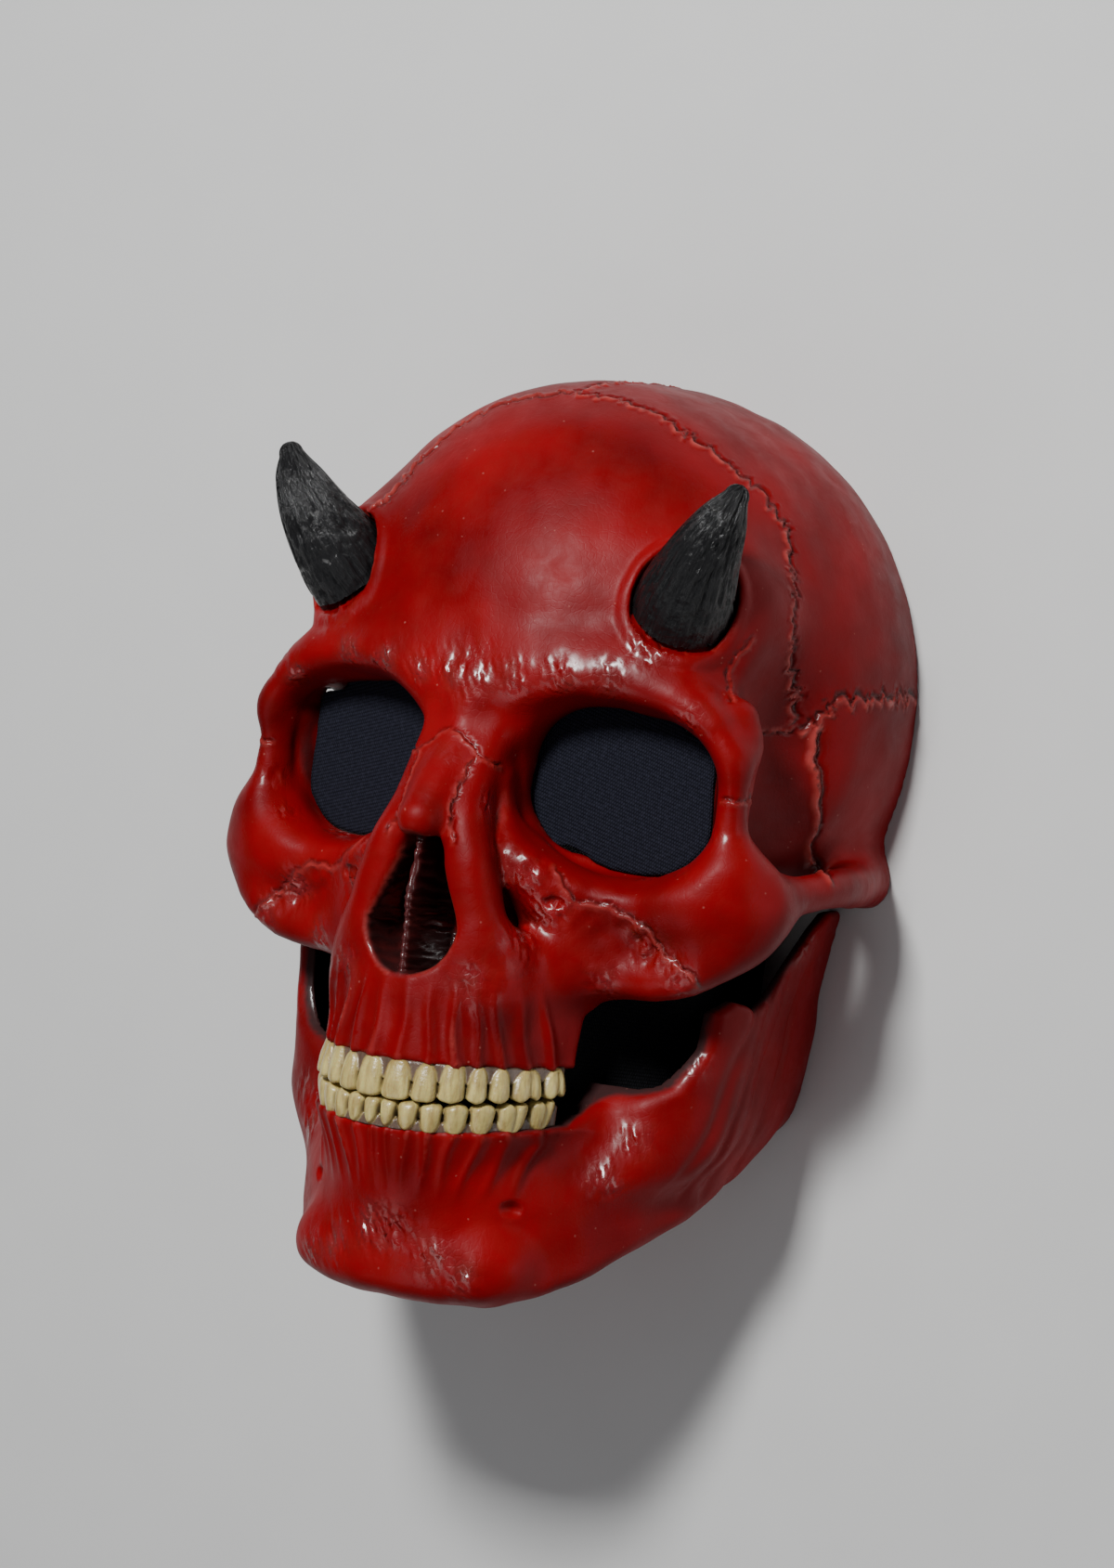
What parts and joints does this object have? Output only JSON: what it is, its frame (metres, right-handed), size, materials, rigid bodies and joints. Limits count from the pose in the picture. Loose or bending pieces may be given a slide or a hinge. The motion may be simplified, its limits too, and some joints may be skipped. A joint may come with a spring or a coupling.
{
  "type": "horned skull mask",
  "caption": "Life-size hollow skull mask with a separate lower jaw, curved horns on the brow, rows of teeth and stretch cloth behind the eye and mouth openings.",
  "frame": {"origin": "centre of the mask's outline, on the plane of the open back rim", "axes": "+X to the wearer's left, +Y to the crown, +Z forwards out of the face; the mask lies on its back rim, face up"},
  "size_m": [0.1684, 0.2463, 0.1218],
  "materials": {
    "red_paint": "glossy deep red paint with dark wash in the recesses",
    "black_horn": "glossy black, grooved lengthwise",
    "cream_tooth": "satin cream with brown stain between the teeth",
    "navy_cloth": "fine dark blue stretch knit",
    "black_cloth": "matt black stretch cloth"
  },
  "bodies": {
    "root": {"skull_shell": "red_paint", "jaw_shell": "red_paint", "upper_teeth": "cream_tooth", "lower_teeth": "cream_tooth", "horn_left": "black_horn", "horn_right": "black_horn", "eye_cloth_left": "navy_cloth", "eye_cloth_right": "navy_cloth", "jaw_cloth": "black_cloth"}
  },
  "joints": []
}
